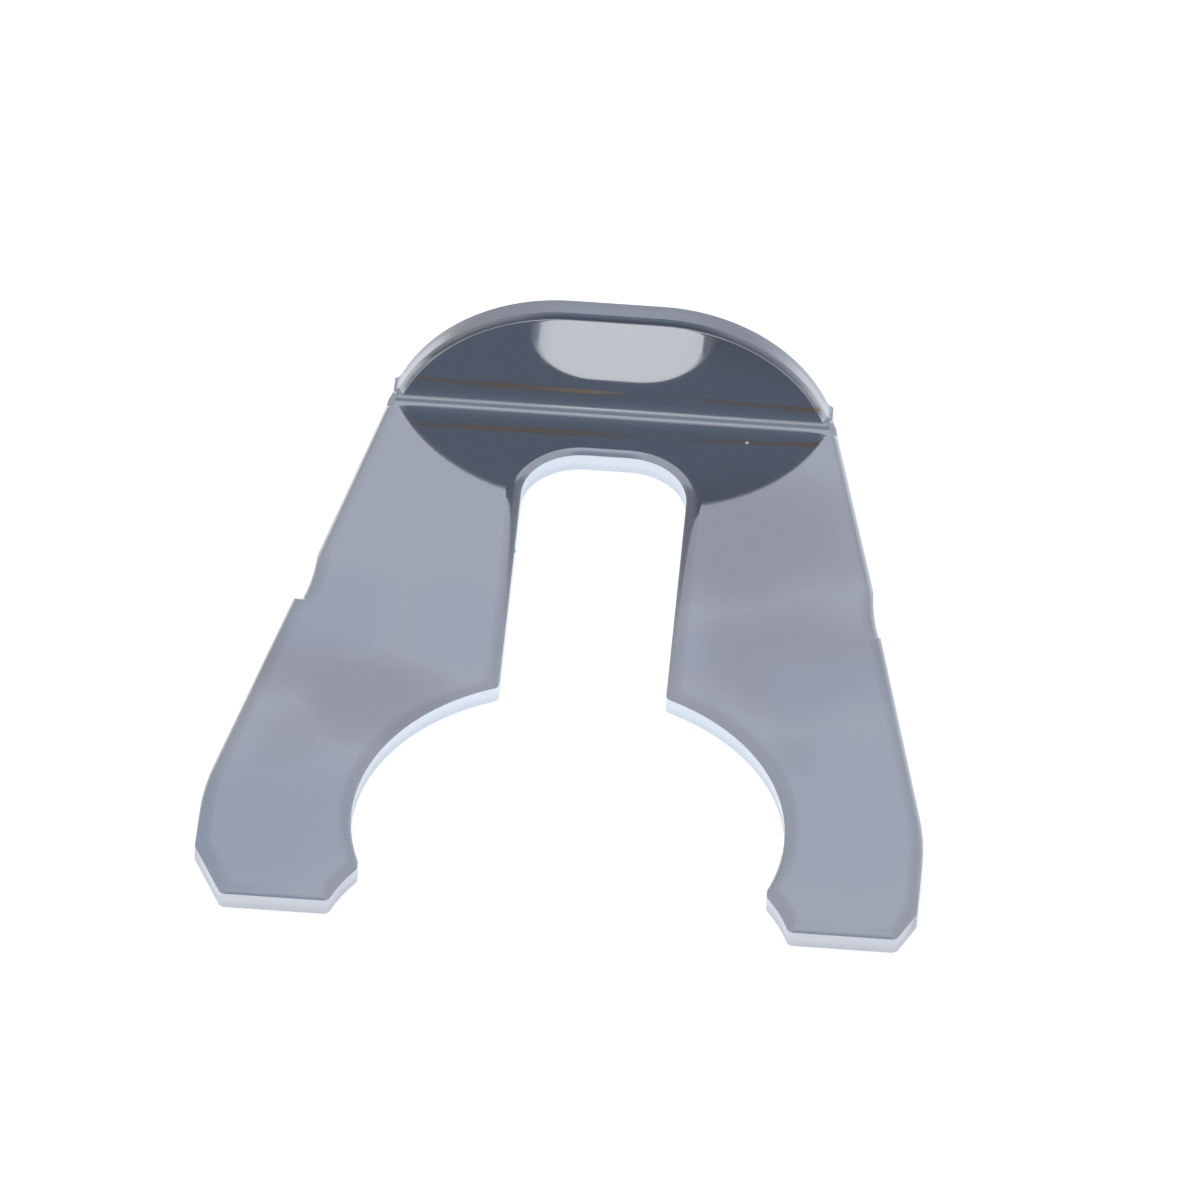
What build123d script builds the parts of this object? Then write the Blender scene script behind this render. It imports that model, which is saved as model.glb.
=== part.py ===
"""Snap-in retaining clip with a thumb tab, stamped and folded from one piece of spring steel.

The sheet lies on z = 0 with its two legs pointing along -Y. A round seat between the legs
snaps into the groove of a pipe or pin, and a narrow slot above the seat lets the legs
spring apart. At the far end the sheet is folded up into a tab to push or pull with.
The origin is the seat's axis, on the underside. Sizes are in millimetres and degrees.
"""
from build123d import *
from math import asin, cos, degrees, radians, sin, sqrt, tan
import os

# Sheet
THICKNESS = 1.0         # spring steel strip
DIE_ROLL = 0.3          # rounding that the punch leaves along the upper edge of every cut

# Round seat, slot and flared mouth, cut by the inner punch
SEAT_RADIUS = 9.0       # closes on an 18 mm groove
SEAT_WRAP = 19.5        # how far each leg hooks round below the seat's centre
SLOT_WIDTH = 7.0
SLOT_END_Y = 23.2       # closed end of the slot
SLOT_CORNER = 2.6       # corner radius at the closed end
SEAT_CORNER = 0.3       # where the slot opens into the seat
NOSE_LAND = 0.45        # straight tip of each leg, which rides over the pipe
NOSE_RADIUS = 0.4       # at both ends of that land
FLARE_HOLLOW = 0.09     # how far the lead-in edge is hollowed from straight

# Toes and flanks, cut by the first outer stroke
TOE_Y = -5.52           # flat ends of the legs
TOE_IN = 9.53           # inner end of each toe, from the centre line
TOE_OUT = 13.99         # outer end of each toe, from the centre line
TOE_CHAMFER = 25.0      # slope of the outer chamfer, from the clip's length
TOE_CORNER = 0.3
FLANK_ANGLE = 12.4      # slope of each flank, from the clip's length
FOLD_HALF_WIDTH = 9.55  # half width at the fold line
NICK_Y = 13.0           # shoulder where the two outer strokes meet
NICK_TOP_Y = 15.8       # upper end of the scallop above that shoulder
NICK_STEP = 0.22        # how far the scallop's foot stands inside the flank
NICK_HOLLOW = 0.09      # how far the scallop is hollowed from straight

# Leg sides, trimmed by a second outer stroke that sits slightly askew to the first
SIDE_X = 15.03          # half width over the legs
KNEE_RADIUS = 13.4      # from leg side to flank
TRIM_TILT = 0.53        # turn of the second stroke about the fold line, legs towards -X

# Folded tab
FOLD_Y = 25.7           # line where the sheet's upper face and the tab's inner face would meet
FOLD_RADIUS = 0.4       # inside radius
TAB_LEAN = 0.9          # tilt of the tab away from the legs
TAB_HEIGHT = 5.31       # above the sheet's upper face
TAB_CORNER = 7.73       # radius of the tab's large corners
SHOULDER_HEIGHT = 0.3   # where the bulged ends of the fold step in to the tab
SHOULDER_STEP = 0.365   # how far the tab's corners start inside the fold's ends
SHOULDER_CORNER = 0.6   # hollow between a fold's end and the tab's corner

OVERRUN = 2.0           # how far each cutting shape runs past what it cuts
BLANK_HALF_WIDTH = SIDE_X + OVERRUN
FAR_Y = FOLD_Y + TAB_HEIGHT + THICKNESS + OVERRUN


def flank_x(y):
    """Half width of the straight flank at height y."""
    return FOLD_HALF_WIDTH + (FOLD_Y - y) * tan(radians(FLANK_ANGLE))


def chamfer_y(x):
    """Height of the toe's outer chamfer at half width x."""
    return TOE_Y + (x - TOE_OUT) / tan(radians(TOE_CHAMFER))


def corners(face, *places):
    """Vertices of a flat face at the places (x, y) and at their mirror images (-x, y)."""
    return [v for v in face.vertices()
            if any(abs(abs(v.X) - x) + abs(v.Y - y) < 1e-4 for x, y in places)]


def mirrored_face(half_outline):
    """Face between a right-hand outline, which starts and ends on x = 0, and its mirror image."""
    return make_face(half_outline + [mirror(edge, Plane.YZ) for edge in half_outline])


def first_stroke():
    """Flat outline with toes, chamfers, scallops and flanks, the same on both sides."""
    far = (flank_x(FAR_Y), FAR_Y)
    scallop_top = (flank_x(NICK_TOP_Y), NICK_TOP_Y)
    scallop_foot = (flank_x(NICK_Y) - NICK_STEP, NICK_Y)
    shoulder = (BLANK_HALF_WIDTH, NICK_Y)
    chamfer_end = (BLANK_HALF_WIDTH, chamfer_y(BLANK_HALF_WIDTH))
    toe = (TOE_OUT, TOE_Y)
    outline = mirrored_face([
        Line((0, FAR_Y), far),
        Line(far, scallop_top),
        SagittaArc(scallop_top, scallop_foot, -NICK_HOLLOW),
        Line(scallop_foot, shoulder),
        Line(shoulder, chamfer_end),
        Line(chamfer_end, toe),
        Line(toe, (0, TOE_Y)),
    ])
    return fillet(corners(outline, toe), TOE_CORNER)


def second_stroke():
    """Flat region that the side trim keeps: leg sides, knees and the flanks' lower part."""
    knee = (SIDE_X, FOLD_Y - (SIDE_X - FOLD_HALF_WIDTH) / tan(radians(FLANK_ANGLE)))
    low_y, high_y = TOE_Y - OVERRUN, NICK_Y + OVERRUN
    right = [(SIDE_X, low_y), knee, (flank_x(high_y), high_y)]
    left = [(-x, y) for x, y in reversed(right)]
    sides = make_face(Polyline(*right, *left, close=True))
    sides = fillet(corners(sides, knee), KNEE_RADIUS)
    sides = Pos(0, FOLD_Y) * Rot(0, 0, -TRIM_TILT) * Pos(0, -FOLD_Y) * sides
    untouched = Pos(0, (NICK_Y + FAR_Y) / 2) * Rectangle(2 * BLANK_HALF_WIDTH, FAR_Y - NICK_Y)
    return sides + untouched


def opening():
    """Slot, round seat and flared mouth as one face, run out past the toes."""
    slot = Pos(0, SLOT_END_Y / 2) * Rectangle(SLOT_WIDTH, SLOT_END_Y)
    slot = fillet(slot.vertices().group_by(Axis.Y)[-1], SLOT_CORNER)
    nose = (SEAT_RADIUS * cos(radians(SEAT_WRAP)), -SEAT_RADIUS * sin(radians(SEAT_WRAP)))
    land_end = (nose[0], nose[1] - NOSE_LAND)
    toe = (TOE_IN, TOE_Y)
    below = (TOE_IN, TOE_Y - OVERRUN)
    mouth = mirrored_face([
        Line((0, nose[1]), nose),
        Line(nose, land_end),
        SagittaArc(land_end, toe, FLARE_HOLLOW),
        Line(toe, below),
        Line(below, (0, below[1])),
    ])
    seat_top = (SLOT_WIDTH / 2, sqrt(SEAT_RADIUS ** 2 - (SLOT_WIDTH / 2) ** 2))
    shape = slot + Circle(SEAT_RADIUS) + mouth
    shape = fillet(corners(shape, nose, land_end), NOSE_RADIUS)
    return fillet(corners(shape, seat_top), SEAT_CORNER)


def flat_blank():
    """Outline of the clip before it is folded, with the tab's strip left long."""
    blank = (first_stroke() & second_stroke()) - opening()
    return fillet(corners(blank, (TOE_IN, TOE_Y)), TOE_CORNER)


def tab_plane():
    """Plane of the tab's inner face: origin on the fold line, x across, y up the tab."""
    lean = radians(TAB_LEAN)
    return Plane(origin=(0, FOLD_Y, THICKNESS), x_dir=(1, 0, 0), z_dir=(0, -cos(lean), sin(lean)))


def folded_sheet():
    """The sheet seen from its edge, flat and then folded up, as wide as the blank."""
    fold = radians(90 - TAB_LEAN)
    start_y = TOE_Y - OVERRUN
    inner = Vector(FOLD_Y, THICKNESS)
    outer = Vector(FOLD_Y + THICKNESS * tan(fold / 2), 0)
    inner_top = inner + Vector(cos(fold), sin(fold)) * TAB_HEIGHT
    outer_top = inner_top + Vector(sin(fold), -cos(fold)) * THICKNESS
    profile = make_face(Polyline((start_y, 0), outer, outer_top, inner_top, inner,
                                 (start_y, THICKNESS), close=True))
    profile = fillet(corners(profile, (inner.X, inner.Y)), FOLD_RADIUS)
    profile = fillet(corners(profile, (outer.X, outer.Y)), FOLD_RADIUS + THICKNESS)
    return extrude(Plane.YZ * profile, BLANK_HALF_WIDTH, both=True)


def tab_waste():
    """What is cut away above the shoulders, beside the tab's rounded outline."""
    foot = (FOLD_HALF_WIDTH - SHOULDER_STEP, SHOULDER_HEIGHT)
    centre_y = TAB_HEIGHT - TAB_CORNER
    foot_angle = degrees(asin((SHOULDER_HEIGHT - centre_y) / TAB_CORNER))
    centre = Vector(foot[0] - TAB_CORNER * cos(radians(foot_angle)), centre_y)
    tab = mirrored_face([
        Line((0, TAB_HEIGHT), (centre.X, TAB_HEIGHT)),
        CenterArc(centre, TAB_CORNER, foot_angle, 90 - foot_angle),
        Line(foot, (0, SHOULDER_HEIGHT)),
    ])
    height = TAB_HEIGHT + OVERRUN - SHOULDER_HEIGHT
    around = Pos(0, SHOULDER_HEIGHT + height / 2) * Rectangle(2 * BLANK_HALF_WIDTH, height)
    waste = fillet(corners(around - tab, foot), SHOULDER_CORNER)
    return extrude(tab_plane() * waste, 2 * THICKNESS, both=True)


def upper_skin(clip):
    """The faces that were the sheet's upper side: flat, inside of the fold and front of the tab."""
    upwards = Vector(0, 0, 1)
    forwards = tab_plane().z_dir
    skin = [f for f in clip.faces() if f.normal_at().get_angle(upwards) < 1e-3
            and abs(f.center().Z - THICKNESS) < 1e-4]
    skin += [f for f in clip.faces() if f.normal_at().get_angle(forwards) < 1e-3
             and abs(tab_plane().to_local_coords(f.center()).Z) < 1e-4]
    skin += [f for f in clip.faces().filter_by(GeomType.CYLINDER)
             if abs(f.radius - FOLD_RADIUS) < 1e-4 and abs(f.axis_of_rotation.direction.X) > 0.999]
    return skin


def roll_cut_edges(clip):
    """Round every edge between the upper skin and the cut walls."""
    seen = {}
    for face in upper_skin(clip):
        for edge in face.edges():
            seen.setdefault(hash(edge), []).append(edge)
    rim = [edges[0] for edges in seen.values() if len(edges) == 1]
    return fillet(rim, DIE_ROLL)


def clip():
    """The finished clip as one solid."""
    length = THICKNESS + TAB_HEIGHT + OVERRUN
    cut = extrude(flat_blank(), length)
    body = (folded_sheet() & cut) - tab_waste()
    return roll_cut_edges(body)


def main():
    os.makedirs("parts", exist_ok=True)
    export_step(clip(), "parts/clip.step")


main()
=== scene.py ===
"""Snap-in retaining clip of bright spring steel, lying on a white studio floor.

The file is laid out as a Blender add-on and run as a script. The clip is made the way a press
makes it: its flat blank is punched with rolled-over edges, and then folded along one line.
Sheet places are (across, along, up): `along` runs from the toes over the fold to the tab's
top, and `up` is 0 on the upper skin and minus the sheet's thickness on the lower one.
Lengths are in metres unless a name says millimetres.
"""
import math

import bmesh
import bpy
from mathutils import Matrix, Vector


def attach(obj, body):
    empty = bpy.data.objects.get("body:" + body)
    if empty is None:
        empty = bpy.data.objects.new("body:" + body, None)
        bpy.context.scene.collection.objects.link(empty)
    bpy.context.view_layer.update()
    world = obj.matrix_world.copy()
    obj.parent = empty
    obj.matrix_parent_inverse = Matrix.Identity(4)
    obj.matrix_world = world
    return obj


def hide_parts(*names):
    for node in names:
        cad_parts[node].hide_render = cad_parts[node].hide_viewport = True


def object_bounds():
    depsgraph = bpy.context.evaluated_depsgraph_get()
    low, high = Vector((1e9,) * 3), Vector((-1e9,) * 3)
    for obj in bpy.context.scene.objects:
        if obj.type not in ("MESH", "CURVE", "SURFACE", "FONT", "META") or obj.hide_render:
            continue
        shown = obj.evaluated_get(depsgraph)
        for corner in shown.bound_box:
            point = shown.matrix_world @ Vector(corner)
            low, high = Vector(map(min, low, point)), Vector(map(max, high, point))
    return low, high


bl_info = {
    "name": "Snap-in retaining clip",
    "version": (1, 0, 0),
    "blender": (4, 5, 0),
    "location": "View3D > Sidebar > Clip",
    "description": "Folds and finishes a spring steel retaining clip and sets up its studio",
    "category": "Object",
}

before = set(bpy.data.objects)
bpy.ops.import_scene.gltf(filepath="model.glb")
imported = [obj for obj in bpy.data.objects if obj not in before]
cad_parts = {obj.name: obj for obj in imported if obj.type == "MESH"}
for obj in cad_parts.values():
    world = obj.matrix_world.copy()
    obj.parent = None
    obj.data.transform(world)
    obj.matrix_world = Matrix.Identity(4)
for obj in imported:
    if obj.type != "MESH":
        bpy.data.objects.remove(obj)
CAD_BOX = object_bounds()

MM = 0.001

# The folded sheet, as it is in the part
SHEET = 1.0 * MM                    # thickness
FOLD_LINE = 25.7 * MM               # where the upper skins of plate and tab would meet
FOLD_RADIUS = 0.4 * MM              # inside
FOLD_ANGLE = math.radians(89.1)
FOLD_START = FOLD_LINE - FOLD_RADIUS * math.tan(FOLD_ANGLE / 2)
FOLD_MIDDLE = FOLD_RADIUS + SHEET / 2           # radius at mid-thickness
FOLD_END = FOLD_START + FOLD_ANGLE * FOLD_MIDDLE
SKIN_TOLERANCE = 0.005 * MM

# How it is punched and folded. The roll-over is built up in rings from the wall inwards, which
# lie at these shares of its width. Its evenly sloping share makes a slight crease where it ends.
RING_SHARES = (0, 0.04, 0.1, 0.18, 0.27, 0.36, 0.46, 0.57, 0.68, 0.79, 0.9, 1.0)
EVEN_SHARE = 0.35
TAB_ROLL_POWER = 1.3                # how the tab's roll-over curves
TIGHTENS_FROM = 20.5 * MM           # along the sheet, where the roll-over starts to get tighter
TIGHTENS_TO = 22.5 * MM             # and where it is as tight as the tab's
FOLD_CUTS = 14
BULGES_FROM = 8.5 * MM              # further out than this, the fold's ends bulge
WALL_COSINE = 0.35                  # of the angle between skin and face, less than this on a wall
SHARP_ANGLE = math.radians(30)


def linear(code):
    """Linear colour of an sRGB hex code, with alpha 1."""
    parts = [int(code[i:i + 2], 16) / 255 for i in (1, 3, 5)]
    return [c / 12.92 if c <= 0.04045 else ((c + 0.055) / 1.055) ** 2.4 for c in parts] + [1.0]


def add_node(tree, kind, values=None, **properties):
    """Adds a node, sets its properties and its sockets, and links the sockets given an output."""
    node = tree.nodes.new(kind)
    for name, value in properties.items():
        setattr(node, name, value)
    for socket, value in (values or {}).items():
        if isinstance(value, bpy.types.NodeSocket):
            tree.links.new(value, node.inputs[socket])
        else:
            node.inputs[socket].default_value = value
    return node


def new_material(name):
    """An empty node material and its tree."""
    material = bpy.data.materials.new(name)
    material.use_nodes = True
    material.node_tree.nodes.clear()
    return material, material.node_tree


class ClipSettings(bpy.types.PropertyGroup):
    """Sizes and colours of the clip's finish, with painted shade on the tab and a painted warm glint
    on it.
    """
    steel_light: bpy.props.FloatVectorProperty(
        name="Steel", description="Clean bright steel", subtype="COLOR", size=4,
        min=0, max=1, default=linear("#D0D3D6"))
    steel_dark: bpy.props.FloatVectorProperty(
        name="Steel in the stains", description="Steel where oil dried on it", subtype="COLOR",
        size=4, min=0, max=1, default=linear("#BCBBBF"))
    steel_blue: bpy.props.FloatVectorProperty(
        name="Blued steel", description="Steel with a breath of blue from hardening",
        subtype="COLOR", size=4, min=0, max=1, default=linear("#C1CAD2"))
    sheared: bpy.props.FloatVectorProperty(
        name="Sheared wall", description="Freshly sheared steel", subtype="COLOR", size=4,
        min=0, max=1, default=linear("#D7DEE6"))
    toe_wall: bpy.props.FloatVectorProperty(
        name="Toe wall", description="Sheared steel at the toes, rubbed by use", subtype="COLOR",
        size=4, min=0, max=1, default=linear("#C6CACF"))
    tab_rim: bpy.props.FloatVectorProperty(
        name="Tab rim", description="Duller sheared rim of the tab", subtype="COLOR", size=4,
        min=0, max=1, default=linear("#B8BBC0"))
    # Painted warm glint: this brown tints the streak on the tab's inner face, standing in for a glint
    # there
    fold_glint: bpy.props.FloatVectorProperty(
        name="Fold marks", description="Where the folding tool rubbed", subtype="COLOR", size=4,
        min=0, max=1, default=linear("#D2AE8A"))
    # Painted shade: the tab's steel is multiplied darker, standing in for the shaded floor that it
    # reflects
    tab_painted_shade: bpy.props.FloatVectorProperty(
        name="Tab dulling", description="Multiplies the steel on the tab, which the tool pressed",
        subtype="COLOR", size=4, min=0, max=1, default=linear("#E4E3E3"))
    # Painted shade: the tab's roll-over, which would show the white floor, is darkened as if that
    # floor lay in shadow
    tab_lip_painted_shade: bpy.props.FloatVectorProperty(
        name="Tab lip dulling", description="Multiplies the steel on the tab's rolled-over edge",
        subtype="COLOR", size=4, min=0, max=1, default=linear("#9FA1A8"))
    roughness: bpy.props.FloatProperty(
        name="Roughness", description="Roughness of the rolled skin", min=0, max=1, default=0.055)
    roll_width: bpy.props.FloatProperty(
        name="Roll width", description="How far a cut edge's roll-over reaches into the sheet",
        unit="LENGTH", default=0.65 * MM)
    roll_depth: bpy.props.FloatProperty(
        name="Roll depth", description="How far the roll-over sinks at the edge",
        unit="LENGTH", default=0.26 * MM)
    tab_roll_width: bpy.props.FloatProperty(
        name="Tab roll width", description="The same on the tab and at the slot's end",
        unit="LENGTH", default=0.26 * MM)
    tab_roll_depth: bpy.props.FloatProperty(
        name="Tab roll depth", description="How far the tab's roll-over sinks at the edge",
        unit="LENGTH", default=0.20 * MM)
    fold_bulge: bpy.props.FloatProperty(
        name="Fold bulge", description="How far the fold's ends bulge on the pressed side",
        unit="LENGTH", default=0.13 * MM)


class StudioSettings(bpy.types.PropertyGroup):
    """The floor, the tent and the lamp."""
    floor: bpy.props.FloatVectorProperty(
        name="Floor", description="Colour of the floor", subtype="COLOR", size=4,
        min=0, max=1, default=linear("#FAFAFA"))
    floor_shaded: bpy.props.FloatVectorProperty(
        name="Floor in view", description="The same where it is seen, for the glow on top of it",
        subtype="COLOR", size=4, min=0, max=1, default=linear("#E0E0E0"))
    floor_glow: bpy.props.FloatProperty(
        name="Floor glow", description="Light that the floor adds where it is seen", min=0,
        default=0.65)
    far_side: bpy.props.FloatVectorProperty(
        name="Far side", description="Tent wall behind the clip", subtype="COLOR", size=4,
        min=0, max=1, default=linear("#C8CBD8"))
    sides: bpy.props.FloatVectorProperty(
        name="Sides", description="Tent walls to the left and right", subtype="COLOR", size=4,
        min=0, max=1, default=linear("#BCBEC9"))
    window: bpy.props.FloatVectorProperty(
        name="Window", description="Cool daylight low on the right", subtype="COLOR", size=4,
        min=0, max=1, default=linear("#D9E2EF"))
    shade: bpy.props.FloatVectorProperty(
        name="Shade", description="Warm shade low on the left", subtype="COLOR", size=4,
        min=0, max=1, default=linear("#B0AEA8"))
    near_side: bpy.props.FloatVectorProperty(
        name="Near side", description="Dark opening of the tent", subtype="COLOR", size=4,
        min=0, max=1, default=linear("#8F98AA"))
    lamp_power: bpy.props.FloatProperty(
        name="Lamp", description="Power of the soft lamp overhead", unit="POWER", min=0,
        default=0.9)


# --- Sheet places and folded places -----------------------------------------------------------

def to_sheet(place):
    """Sheet place of a point on the folded clip."""
    behind, above = place.y - FOLD_START, place.z - (SHEET + FOLD_RADIUS)
    if behind <= 0:
        return Vector((place.x, place.y, place.z - SHEET))
    angle = math.atan2(behind, -above)
    if angle < FOLD_ANGLE:
        radius = math.hypot(behind, above)
        return Vector((place.x, FOLD_START + angle * FOLD_MIDDLE, FOLD_RADIUS - radius))
    cos, sin = math.cos(FOLD_ANGLE), math.sin(FOLD_ANGLE)
    up_tab = behind * cos + above * sin
    radius = behind * sin - above * cos
    return Vector((place.x, FOLD_END + up_tab, FOLD_RADIUS - radius))


def to_folded(place):
    """Point on the folded clip of a sheet place."""
    along, radius = place.y, FOLD_RADIUS - place.z
    if along <= FOLD_START:
        return Vector((place.x, along, SHEET + place.z))
    angle = min((along - FOLD_START) / FOLD_MIDDLE, FOLD_ANGLE)
    up_tab = max(along - FOLD_END, 0)
    cos, sin = math.cos(angle), math.sin(angle)
    return Vector((place.x, FOLD_START + radius * sin + up_tab * cos,
                   SHEET + FOLD_RADIUS - radius * cos + up_tab * sin))


# --- The clip ---------------------------------------------------------------------------------

# Centres and half sizes of the two grains
BURR_PLACE, BURR_SIZE = Vector((-3.52, 17.0, 0.62)) * MM, Vector((0.09, 0.14, 0.12)) * MM
DUST_PLACE, DUST_SIZE = Vector((5.81, 24.46, 1.01)) * MM, Vector((0.09, 0.07, 0.05)) * MM


def flat_blank(node):
    """The clip's lower skin laid flat: one face, taken from a merged copy of the CAD node."""
    bm = bmesh.new()
    bm.from_mesh(node.data)
    bmesh.ops.remove_doubles(bm, verts=bm.verts, dist=0.001 * MM)
    for vert in bm.verts:
        vert.co = to_sheet(vert.co)
    other = [f for f in bm.faces if any(abs(v.co.z + SHEET) > SKIN_TOLERANCE for v in f.verts)]
    bmesh.ops.delete(bm, geom=other, context="FACES")
    for vert in bm.verts:
        vert.co.z = -SHEET
    bmesh.ops.dissolve_limit(bm, angle_limit=math.radians(0.05), verts=bm.verts, edges=bm.edges)
    bmesh.ops.recalc_face_normals(bm, faces=bm.faces)
    return bm


def upper_face(bm):
    """The one large face on the upper side of the flat sheet."""
    return max((f for f in bm.faces if f.normal.z > 0.9), key=lambda f: f.calc_area())


def roll_sink(settings, inwards, along):
    """How deep the rolled-over edge lies at a distance from the wall; tighter round the fold."""
    left = max(0, 1 - inwards / settings.roll_width)
    on_plate = settings.roll_depth * (EVEN_SHARE * left + (1 - EVEN_SHARE) * left ** 3)
    left = max(0, 1 - inwards / settings.tab_roll_width)
    on_tab = settings.tab_roll_depth * left ** TAB_ROLL_POWER
    tab_share = min(max((along - TIGHTENS_FROM) / (TIGHTENS_TO - TIGHTENS_FROM), 0), 1)
    return on_plate + (on_tab - on_plate) * tab_share


def punch(bm, settings):
    """Raises the blank to the sheet's thickness, with every upper edge rolled over."""
    rings = [share * settings.roll_width for share in RING_SHARES]
    made = bmesh.ops.extrude_face_region(bm, geom=list(bm.faces))
    for vert in made["geom"]:
        if isinstance(vert, bmesh.types.BMVert):
            vert.co.z = -roll_sink(settings, 0, vert.co.y)
    bmesh.ops.recalc_face_normals(bm, faces=bm.faces)
    for last, inwards in zip(rings, rings[1:]):
        step = inwards - last
        face = upper_face(bm)
        bmesh.ops.inset_region(bm, faces=[face], thickness=step, use_even_offset=True,
                               use_boundary=True)
        ring = list(face.verts)
        for vert in ring:
            vert.co.z = -roll_sink(settings, inwards, vert.co.y)
        # In tight corners the ring's points draw together, and would cross on the next step
        bmesh.ops.remove_doubles(bm, verts=ring, dist=0.6 * step)


def fold(bm, settings):
    """Cuts the sheet across the fold and bends it up, with the fold's ends bulged."""
    for i in range(FOLD_CUTS + 1):
        along = FOLD_START + (FOLD_END - FOLD_START) * i / FOLD_CUTS
        bmesh.ops.bisect_plane(bm, geom=bm.verts[:] + bm.edges[:] + bm.faces[:],
                               dist=0.0001 * MM, plane_co=(0, along, 0), plane_no=(0, 1, 0))
    middle = (FOLD_START + FOLD_END) / 2
    reach = (FOLD_END - FOLD_START) / 2
    for vert in bm.verts:
        near_middle = max(0, 1 - abs(vert.co.y - middle) / reach)
        upper_share = 1 + vert.co.z / SHEET
        swell = settings.fold_bulge * upper_share * near_middle ** 2 * (3 - 2 * near_middle)
        if abs(vert.co.x) > BULGES_FROM:
            vert.co.x += math.copysign(swell, vert.co.x)
        vert.co = to_folded(vert.co)


def is_sheared(face):
    """True for a wall that the punch left, at right angles to the sheet's skins."""
    place = to_sheet(face.calc_center_median())
    angle = min(max((place.y - FOLD_START) / FOLD_MIDDLE, 0), FOLD_ANGLE)
    skin_normal = Vector((0, -math.sin(angle), math.cos(angle)))
    return abs(face.normal.dot(skin_normal)) < WALL_COSINE


def make_clip(settings):
    """The finished clip: rolled skin in the first material, sheared walls in the second."""
    bm = flat_blank(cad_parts["clip"])
    punch(bm, settings)
    fold(bm, settings)
    bmesh.ops.recalc_face_normals(bm, faces=bm.faces)
    for face in bm.faces:
        face.smooth = True
        face.material_index = int(is_sheared(face))
    for edge in bm.edges:
        edge.smooth = edge.calc_face_angle(0) < SHARP_ANGLE
    mesh = bpy.data.meshes.new("folded_clip")
    bm.to_mesh(mesh)
    bm.free()
    depth = mesh.attributes.new("depth", "FLOAT", "POINT")
    for vert, value in zip(mesh.vertices, depth.data):
        value.value = -to_sheet(vert.co).z / SHEET
    clip = bpy.data.objects.new("folded_clip", mesh)
    bpy.context.scene.collection.objects.link(clip)
    normals = clip.modifiers.new("Flat skins", "WEIGHTED_NORMAL")
    normals.keep_sharp = True
    normals.weight = 100
    return clip


def make_grain(name, centre, size):
    """A small rounded grain on the clip, such as a speck of dust or a burr."""
    bm = bmesh.new()
    bmesh.ops.create_icosphere(bm, subdivisions=3, radius=1.0)
    bmesh.ops.scale(bm, verts=bm.verts, vec=size)
    bmesh.ops.translate(bm, verts=bm.verts, vec=centre)
    for face in bm.faces:
        face.smooth = True
    mesh = bpy.data.meshes.new(name)
    bm.to_mesh(mesh)
    bm.free()
    grain = bpy.data.objects.new(name, mesh)
    bpy.context.scene.collection.objects.link(grain)
    return grain


# --- Materials --------------------------------------------------------------------------------

# Soft zones on the upper skin, in millimetres: (x, y, reach, strength)
STAINS = ((-11.5, 9.0, 3.5, 0.8), (-9.0, 7.0, 4.0, 0.9), (-12.0, 4.0, 2.5, 0.5),
          (6.5, 18.5, 6.0, 1.0), (8.5, 11.0, 5.5, 0.9), (9.0, 5.0, 1.6, 0.5))
BLUEING = ((-11.0, 12.5, 4.0, 0.7), (-13.0, -1.0, 6.5, 1.0), (10.0, 9.5, 4.0, 0.6),
           (11.0, 1.5, 7.0, 0.45), (4.5, 11.0, 1.4, 0.6), (-5.0, 12.0, 4.0, 0.4))
ZONE_CORE = 0.35            # share of a zone's reach with its full strength
ZONE_HAZE = 0.1             # strength of the tint outside the zones
DRIFT = 4.0                 # how far noise moves the zones' outlines

# Heights on the folded clip, in millimetres
TAB_FADES_IN = (1.2, 1.8)           # from the plate's steel to the tab's, which has painted shade
RIM_FADES_IN = (1.1, 2.0)           # from the plate's walls to the tab's rim
GREY_RUB = (1.03, 1.6, 0.1)         # from, to and blur of the tool's rub inside the fold
BROWN_RUB_AND_GLINT = (1.9, 2.4, 0.22)       # the same of the streak that its edge left on the tab, rubbed rougher and tinted with a painted warm glint

MARK_SLOPE = 0.018                  # how the streak climbs to the left
# How strongly the streak's painted warm glint tints the steel
GLINT_STRENGTH = 0.8
INNER_SIDE = FOLD_LINE / MM + 0.14  # the tool rubbed the inner side alone, up to this y
TOES_FADE_IN = (5.0, -5.0)          # y, from the plate's walls to the toes' duller ones

# Depths below the upper skin, as shares of the sheet's thickness
LIP = (0.02, 0.2)                   # the roll-over gets rougher between these
TAB_LIP = (0.0, 0.02)               # the painted shade on the tab's roll-over starts between these
TAB_LIP_SHADE_EASES = (0.03, 0.15)         # and eases off again further out
TORN = (0.62, 0.72)                 # from the wall's sheared part to its torn part


def arithmetic(tree, operation, *values):
    """Result of a math node on two or three numbers."""
    return add_node(tree, "ShaderNodeMath", dict(enumerate(values)),
                    operation=operation).outputs["Value"]


def ramp(tree, value, start, end, low=0.0, high=1.0, interpolation="LINEAR"):
    """Goes from `low` to `high` as the value goes from `start` to `end`, and no further."""
    return add_node(tree, "ShaderNodeMapRange", {
        "Value": value, "From Min": start, "From Max": end, "To Min": low, "To Max": high},
        interpolation_type=interpolation).outputs["Result"]


def blend(tree, share, under, over, blend_type="MIX"):
    """One colour laid over another by share."""
    return add_node(tree, "ShaderNodeMix", {"Factor": share, "A": under, "B": over},
                    data_type="RGBA", blend_type=blend_type).outputs["Result"]


def strip(tree, value, low, high, blur):
    """1 where the value lies between two limits and 0 elsewhere, with soft ends."""
    return arithmetic(tree, "MULTIPLY", ramp(tree, value, low, low + blur),
                      ramp(tree, value, high, high - blur))


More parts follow.
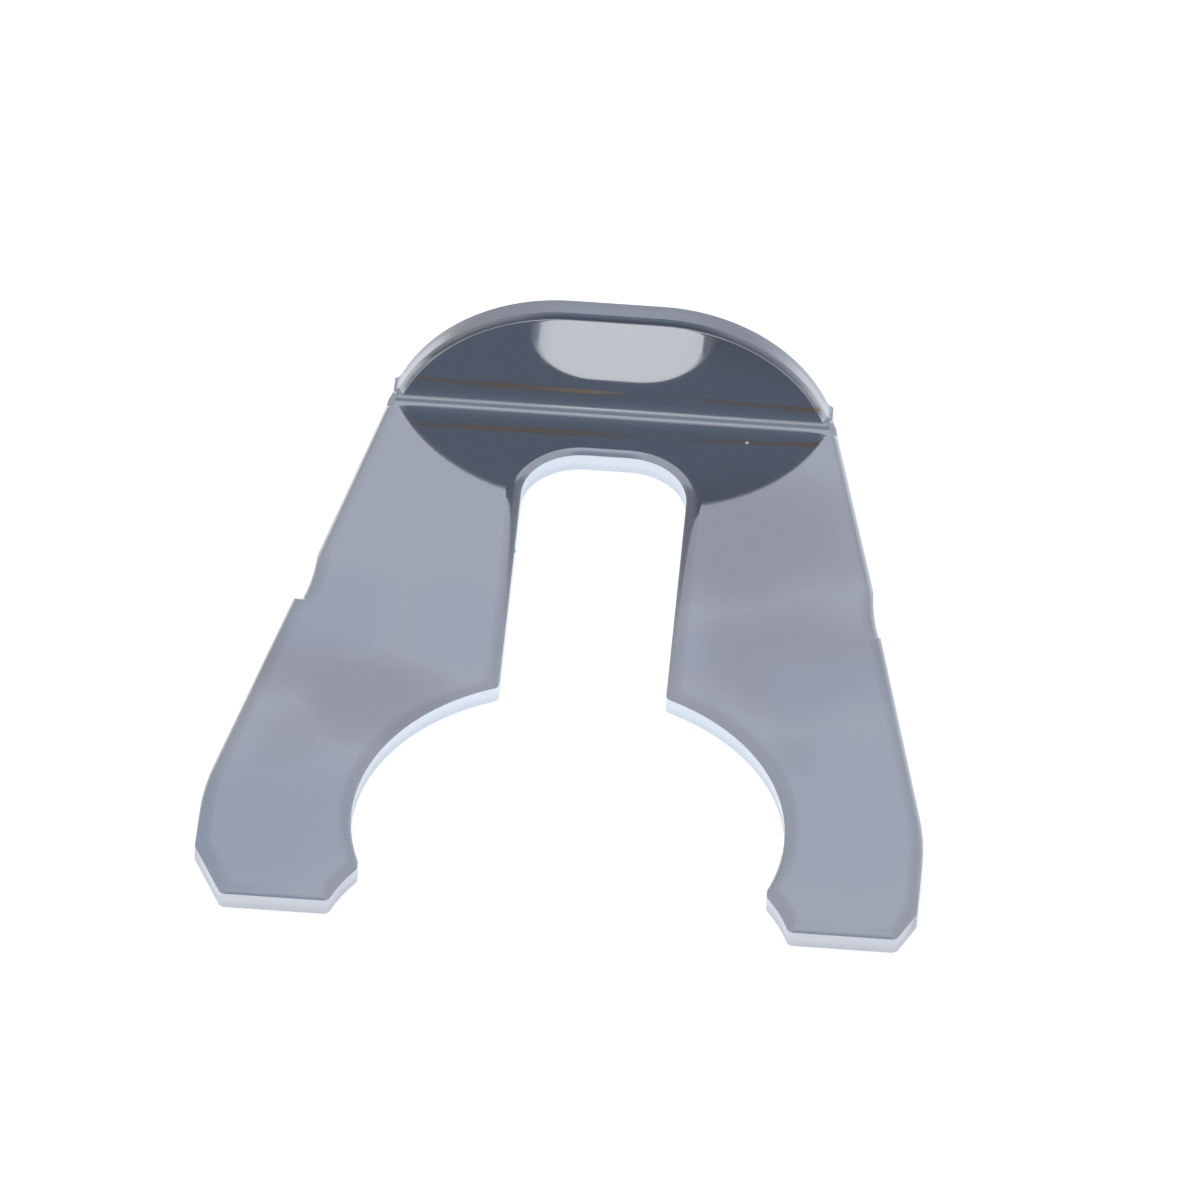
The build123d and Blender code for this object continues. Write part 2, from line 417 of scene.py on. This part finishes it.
def in_millimetres(tree):
    """Place on the clip, in millimetres."""
    place = add_node(tree, "ShaderNodeTexCoord").outputs["Object"]
    return add_node(tree, "ShaderNodeMapping", {
        "Vector": place, "Scale": (1 / MM, 1 / MM, 1 / MM)}).outputs["Vector"]


def depth_share(tree):
    """Depth below the upper skin, as a share of the sheet's thickness."""
    return add_node(tree, "ShaderNodeAttribute", attribute_name="depth").outputs["Fac"]


def stained_colour(tree, place, settings):
    """Clean steel with soft stains and a breath of blueing."""
    clouds = add_node(tree, "ShaderNodeTexNoise", {
        "Vector": place, "Scale": 1 / 5, "Detail": 3.0, "Roughness": 0.45})
    wandering = add_node(tree, "ShaderNodeVectorMath", {
        0: clouds.outputs["Color"], 1: (DRIFT, DRIFT, 0.0), 2: place},
        operation="MULTIPLY_ADD").outputs["Vector"]
    colour = settings.steel_light
    for zones, tint in ((STAINS, settings.steel_dark), (BLUEING, settings.steel_blue)):
        share = 0.0
        for x, y, reach, strength in zones:
            centre = (x + DRIFT / 2, y + DRIFT / 2, SHEET / MM)     # noise is a half on average
            gap = add_node(tree, "ShaderNodeVectorMath", {0: wandering, 1: centre},
                           operation="DISTANCE").outputs["Value"]
            zone = ramp(tree, gap, reach, ZONE_CORE * reach, ZONE_HAZE, strength, "SMOOTHSTEP")
            share = arithmetic(tree, "MAXIMUM", share, zone)
        colour = blend(tree, share, colour, tint)
    return colour


def rubs_and_glint(tree, place):
    """Shares of the brown streak on the tab, rubbed rougher and with a painted warm glint, and of the
    grey rub inside the fold.
    """
    split = add_node(tree, "ShaderNodeSeparateXYZ", {0: place})
    height = split.outputs["Z"]
    stretched = add_node(tree, "ShaderNodeMapping", {
        "Vector": place, "Rotation": (0, MARK_SLOPE, 0), "Scale": (0.15, 0.5, 2.5)})
    streaks = add_node(tree, "ShaderNodeTexNoise", {
        "Vector": stretched.outputs["Vector"], "Scale": 1.0, "Detail": 3.0})
    inner_side = arithmetic(tree, "LESS_THAN", split.outputs["Y"], INNER_SIDE)
    rubbed = arithmetic(tree, "MULTIPLY", ramp(tree, streaks.outputs["Fac"], 0.42, 0.6),
                        inner_side)
    sloped = arithmetic(tree, "MULTIPLY_ADD", split.outputs["X"], MARK_SLOPE, height)
    marks = (strip(tree, sloped, *BROWN_RUB_AND_GLINT), strip(tree, height, *GREY_RUB))
    return [arithmetic(tree, "MULTIPLY", mark, rubbed) for mark in marks]


def cold_rolled_spring_steel(settings):
    """Cold-rolled spring steel, bright finish: a soft mirror with faint rolling grain and stains,
    painted shade on the tab and its roll-over, and a painted warm glint on the tab.
    """
    material, tree = new_material("cold_rolled_spring_steel")
    place = in_millimetres(tree)
    depth = depth_share(tree)
    brown, grey = rubs_and_glint(tree, place)
    upper_half = arithmetic(tree, "LESS_THAN", depth, 0.5)
    lip = arithmetic(tree, "MULTIPLY", ramp(tree, depth, *LIP), upper_half)
    height = add_node(tree, "ShaderNodeSeparateXYZ", {0: place}).outputs["Z"]
    on_tab = ramp(tree, height, *TAB_FADES_IN)
    tab_lip = ramp(tree, depth, *TAB_LIP)
    for factor in (ramp(tree, depth, *TAB_LIP_SHADE_EASES, 1.0, 0.25), on_tab, upper_half):
        tab_lip = arithmetic(tree, "MULTIPLY", tab_lip, factor)

    colour = stained_colour(tree, place, settings)
    # Painted warm glint: the brown streak on the tab is laid into the base colour
    faint = arithmetic(tree, "MULTIPLY", brown, GLINT_STRENGTH)
    colour = blend(tree, faint, colour, settings.fold_glint)
    # Painted shade on the tab
    colour = blend(tree, on_tab, colour, settings.tab_painted_shade, "MULTIPLY")
    # Painted shade on the tab's roll-over
    colour = blend(tree, tab_lip, colour, settings.tab_lip_painted_shade, "MULTIPLY")

    grain_place = add_node(tree, "ShaderNodeMapping", {"Vector": place, "Scale": (0.4, 9, 9)})
    grain = add_node(tree, "ShaderNodeTexNoise", {
        "Vector": grain_place.outputs["Vector"], "Scale": 1.0, "Detail": 3.0}).outputs["Fac"]
    roughness = ramp(tree, grain, 0.3, 0.7, settings.roughness - 0.015,
                     settings.roughness + 0.02)
    for share, extra in ((brown, 0.30), (grey, 0.18), (lip, 0.22)):
        roughness = arithmetic(tree, "MULTIPLY_ADD", share, extra, roughness)
    peel = add_node(tree, "ShaderNodeTexNoise", {"Vector": place, "Scale": 4.0, "Detail": 2.0})
    orange_peel = add_node(tree, "ShaderNodeBump", {
        "Strength": 0.15, "Distance": 0.0015 * MM, "Height": peel.outputs["Fac"]})
    bump = add_node(tree, "ShaderNodeBump", {
        "Strength": 0.06, "Distance": 0.002 * MM, "Height": grain,
        "Normal": orange_peel.outputs["Normal"]})
    shader = add_node(tree, "ShaderNodeBsdfPrincipled", {
        "Base Color": colour, "Metallic": 1.0, "Roughness": roughness,
        "Normal": bump.outputs["Normal"]})
    add_node(tree, "ShaderNodeOutputMaterial", {"Surface": shader.outputs["BSDF"]})
    return material


def sheared_steel(settings):
    """The same steel where the punch sheared it: brighter, finely scored, and torn lower down."""
    material, tree = new_material("sheared_steel")
    place = in_millimetres(tree)
    split = add_node(tree, "ShaderNodeSeparateXYZ", {0: place})
    at_toes = ramp(tree, split.outputs["Y"], *TOES_FADE_IN)
    colour = blend(tree, at_toes, settings.sheared, settings.toe_wall)
    on_tab = ramp(tree, split.outputs["Z"], *RIM_FADES_IN)
    colour = blend(tree, on_tab, colour, settings.tab_rim)
    roughness = ramp(tree, depth_share(tree), *TORN, 0.26, 0.42)
    scores = add_node(tree, "ShaderNodeTexNoise", {"Vector": place, "Scale": 6.0, "Detail": 3.0})
    bump = add_node(tree, "ShaderNodeBump", {
        "Strength": 0.15, "Distance": 0.01 * MM, "Height": scores.outputs["Fac"]})
    shader = add_node(tree, "ShaderNodeBsdfPrincipled", {
        "Base Color": colour, "Metallic": 1.0, "Roughness": roughness,
        "Normal": bump.outputs["Normal"]})
    add_node(tree, "ShaderNodeOutputMaterial", {"Surface": shader.outputs["BSDF"]})
    return material


def house_dust():
    """Pale fibre dust, dull and slightly uneven."""
    material, tree = new_material("house_dust")
    place = add_node(tree, "ShaderNodeTexCoord").outputs["Object"]
    fluff = add_node(tree, "ShaderNodeTexNoise", {"Vector": place, "Scale": 1 / (0.03 * MM)})
    colour = blend(tree, fluff.outputs["Fac"], linear("#B4C0C4"), linear("#E6EEF0"))
    shader = add_node(tree, "ShaderNodeBsdfPrincipled", {"Base Color": colour, "Roughness": 0.9})
    add_node(tree, "ShaderNodeOutputMaterial", {"Surface": shader.outputs["BSDF"]})
    return material


def white_floor(settings):
    """Matt white floor: white to the eye and in the steel, and plain where it only scatters light."""
    material, tree = new_material("white_floor")
    matt = add_node(tree, "ShaderNodeBsdfDiffuse", {"Color": settings.floor})
    shaded = add_node(tree, "ShaderNodeBsdfDiffuse", {"Color": settings.floor_shaded})
    glow = add_node(tree, "ShaderNodeEmission", {
        "Color": settings.floor, "Strength": settings.floor_glow})
    lit = add_node(tree, "ShaderNodeAddShader", {
        0: shaded.outputs["BSDF"], 1: glow.outputs["Emission"]})
    ray = add_node(tree, "ShaderNodeLightPath")
    seen = arithmetic(tree, "MAXIMUM", ray.outputs["Is Camera Ray"],
                      ray.outputs["Is Glossy Ray"])
    seen = arithmetic(tree, "MAXIMUM", seen, ray.outputs["Is Transmission Ray"])
    mix = add_node(tree, "ShaderNodeMixShader", {
        0: seen, 1: matt.outputs["BSDF"], 2: lit.outputs["Shader"]})
    add_node(tree, "ShaderNodeOutputMaterial", {"Surface": mix.outputs["Shader"]})
    return material


# --- The studio -------------------------------------------------------------------------------

CAMERA_TARGET = Vector((0.3, 14.45, 0.5)) * MM
CAMERA_DISTANCE = 840.3 * MM
CAMERA_AZIMUTH = math.radians(2.77)     # to the right of the clip's length
CAMERA_ELEVATION = math.radians(41.86)
CAMERA_ROLL = math.radians(2.04)
CAMERA_LENS = 600.0

LAMP_PLACE = Vector((-0.15, 0.05, 0.6))
LAMP_WIDTH = 0.5

# Where the tent's tones meet, as parts of a unit vector
SIDES_FADE_IN = (0.03, 0.45)            # x to either side, from the far side's tone to the sides'
LEFT_TO_RIGHT = (-0.5, 0.5)             # x, from the shade to the window
LOW_FADES_IN = (0.3, 0.05)              # z, from the walls down to shade and window

# The tent's dark opening, on the near side
OPENING_AZIMUTH = math.radians(3)
OPENING_ELEVATION = math.radians(42)
OPENING_CORE = math.radians(12)         # fully dark up to here, measured from its middle
OPENING_REACH = math.radians(28)        # and gone from here on


def toward(azimuth, elevation):
    """Unit vector that points up at that elevation, on the near side of the clip."""
    return Vector((math.sin(azimuth) * math.cos(elevation),
                   -math.cos(azimuth) * math.cos(elevation), math.sin(elevation)))


def make_camera():
    """The camera, looking down at the clip from its toes' side."""
    data = bpy.data.cameras.new("camera")
    data.lens, data.sensor_width = CAMERA_LENS, 36.0
    data.clip_start, data.clip_end = 0.05, 10.0
    camera = bpy.data.objects.new("camera", data)
    back = toward(CAMERA_AZIMUTH, CAMERA_ELEVATION)
    turn = back.to_track_quat("Z", "Y").to_matrix() @ Matrix.Rotation(CAMERA_ROLL, 3, "Z")
    camera.matrix_world = Matrix.LocRotScale(CAMERA_TARGET + back * CAMERA_DISTANCE,
                                             turn.to_quaternion(), None)
    bpy.context.scene.collection.objects.link(camera)
    bpy.context.scene.camera = camera


def make_world(settings):
    """A soft grey tent: paler behind the clip, darker round the opening on the near side."""
    world = bpy.data.worlds.new("tent")
    world.use_nodes = True
    tree = world.node_tree
    tree.nodes.clear()
    way = add_node(tree, "ShaderNodeTexCoord").outputs["Generated"]
    split = add_node(tree, "ShaderNodeSeparateXYZ", {0: way})
    aside = arithmetic(tree, "ABSOLUTE", split.outputs["X"])
    side_share = ramp(tree, aside, *SIDES_FADE_IN, interpolation="SMOOTHSTEP")
    walls = blend(tree, side_share, settings.far_side, settings.sides)
    right_share = ramp(tree, split.outputs["X"], *LEFT_TO_RIGHT)
    low = blend(tree, right_share, settings.shade, settings.window)
    low_share = ramp(tree, split.outputs["Z"], *LOW_FADES_IN, interpolation="SMOOTHSTEP")
    round_about = blend(tree, low_share, walls, low)
    aim = add_node(tree, "ShaderNodeVectorMath", {
        0: way, 1: toward(OPENING_AZIMUTH, OPENING_ELEVATION)},
        operation="DOT_PRODUCT").outputs["Value"]
    near_share = ramp(tree, aim, math.cos(OPENING_REACH), math.cos(OPENING_CORE),
                      interpolation="SMOOTHSTEP")
    colour = blend(tree, near_share, round_about, settings.near_side)
    background = add_node(tree, "ShaderNodeBackground", {"Color": colour, "Strength": 1.0})
    add_node(tree, "ShaderNodeOutputWorld", {"Surface": background.outputs["Background"]})
    bpy.context.scene.world = world


def make_floor(settings):
    """A large square floor under the clip."""
    bm = bmesh.new()
    bmesh.ops.create_grid(bm, x_segments=1, y_segments=1, size=3.0)
    bmesh.ops.translate(bm, verts=bm.verts, vec=(0, 0, CAD_BOX[0][2] - 0.01 * MM))
    mesh = bpy.data.meshes.new("floor")
    bm.to_mesh(mesh)
    bm.free()
    mesh.materials.append(white_floor(settings))
    floor = bpy.data.objects.new("floor", mesh)
    bpy.context.scene.collection.objects.link(floor)


def make_lamp(settings):
    """One large soft lamp overhead."""
    data = bpy.data.lights.new("overhead_lamp", "AREA")
    data.shape, data.size = "DISK", LAMP_WIDTH
    data.energy = settings.lamp_power
    lamp = bpy.data.objects.new("overhead_lamp", data)
    lamp.location = LAMP_PLACE
    lamp.rotation_euler = LAMP_PLACE.to_track_quat("Z", "Y").to_euler()
    lamp.visible_glossy = False     # only the tent and the floor show in the steel
    bpy.context.scene.collection.objects.link(lamp)


# --- Operators, panel and run -----------------------------------------------------------------

class CLIP_OT_fold(bpy.types.Operator):
    """Punch and fold the clip and give it its finish"""
    bl_idname = "clip.fold"
    bl_label = "Fold clip"

    def execute(self, context):
        settings = context.scene.clip_settings
        clip = make_clip(settings)
        clip.data.materials.append(cold_rolled_spring_steel(settings))
        clip.data.materials.append(sheared_steel(settings))
        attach(clip, "root")
        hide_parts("clip")
        return {"FINISHED"}


class CLIP_OT_grains(bpy.types.Operator):
    """Add the burr on the slot's edge and the speck of dust by the fold"""
    bl_idname = "clip.grains"
    bl_label = "Add burr and dust"

    def execute(self, context):
        burr = make_grain("slot_burr", BURR_PLACE, BURR_SIZE)
        burr.data.materials.append(bpy.data.materials["sheared_steel"])
        dust = make_grain("dust_speck", DUST_PLACE, DUST_SIZE)
        dust.data.materials.append(house_dust())
        for grain in (burr, dust):
            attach(grain, "root")
        return {"FINISHED"}


class CLIP_OT_studio(bpy.types.Operator):
    """Set up the floor, the tent, the lamp and the camera"""
    bl_idname = "clip.studio"
    bl_label = "Set up studio"

    def execute(self, context):
        settings = context.scene.studio_settings
        make_floor(settings)
        make_world(settings)
        make_lamp(settings)
        make_camera()
        context.scene.view_settings.view_transform = "Standard"
        return {"FINISHED"}


class CLIP_PT_panel(bpy.types.Panel):
    """Lists the clip's operators and settings"""
    bl_idname = "CLIP_PT_panel"
    bl_label = "Retaining clip"
    bl_space_type = "VIEW_3D"
    bl_region_type = "UI"
    bl_category = "Clip"

    def draw(self, context):
        for settings, operators in (
                (context.scene.clip_settings, ("clip.fold", "clip.grains")),
                (context.scene.studio_settings, ("clip.studio",))):
            box = self.layout.box()
            for name in settings.__annotations__:
                box.prop(settings, name)
            for operator in operators:
                box.operator(operator)


CLASSES = (ClipSettings, StudioSettings, CLIP_OT_fold, CLIP_OT_grains, CLIP_OT_studio,
           CLIP_PT_panel)


def register():
    for cls in CLASSES:
        bpy.utils.register_class(cls)
    bpy.types.Scene.clip_settings = bpy.props.PointerProperty(type=ClipSettings)
    bpy.types.Scene.studio_settings = bpy.props.PointerProperty(type=StudioSettings)


def unregister():
    del bpy.types.Scene.studio_settings
    del bpy.types.Scene.clip_settings
    for cls in reversed(CLASSES):
        bpy.utils.unregister_class(cls)


def main():
    register()
    bpy.ops.clip.fold()
    bpy.ops.clip.grains()
    bpy.ops.clip.studio()


if __name__ == "__main__":
    main()
